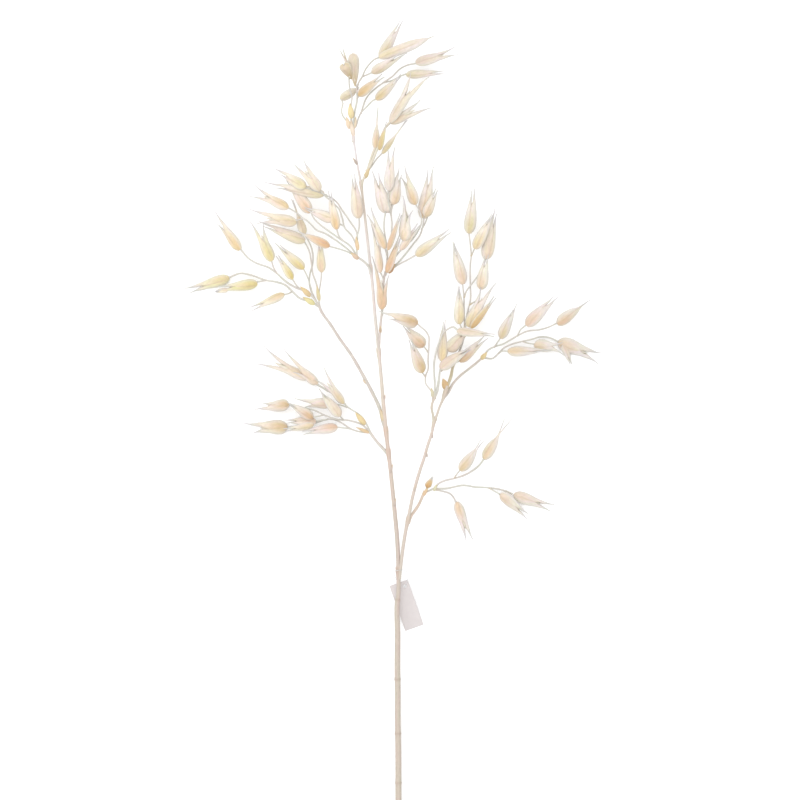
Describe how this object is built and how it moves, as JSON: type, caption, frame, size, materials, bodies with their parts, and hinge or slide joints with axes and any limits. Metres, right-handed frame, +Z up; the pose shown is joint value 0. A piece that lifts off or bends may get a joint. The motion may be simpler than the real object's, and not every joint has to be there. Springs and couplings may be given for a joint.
{
  "type": "dried oat stem",
  "caption": "Long branched dried oat stem with sprays of papery, long-awned spikelets on wiry stalks, lying down, with a small bare hang tag.",
  "frame": {"origin": "middle of the stem's outline as it lies, on the surface it rests on", "axes": "+Y along the stem from its cut end towards its top spray, +X to the right as seen from above, +Z up from the surface"},
  "size_m": [0.521, 1.0411, 0.094],
  "materials": {
    "husk": "matt, papery and finely veined, cream to straw",
    "stem": "matt straw beige, ringed at its sleeve joints",
    "card": "smooth matt card, bare",
    "loop": "thin clear glossy filament"
  },
  "bodies": {
    "root": {"main_stem": "stem", "right_stem": "stem", "spray_low_left": "husk", "spray_left": "husk", "spray_centre": "husk", "spray_upper_left": "husk", "spray_upper_right": "husk", "spray_top": "husk", "spray_low_right": "husk", "spray_middle": "husk", "spray_right_up": "husk", "spray_right": "husk", "tag_card": "card", "tag_loop": "loop"}
  },
  "joints": []
}
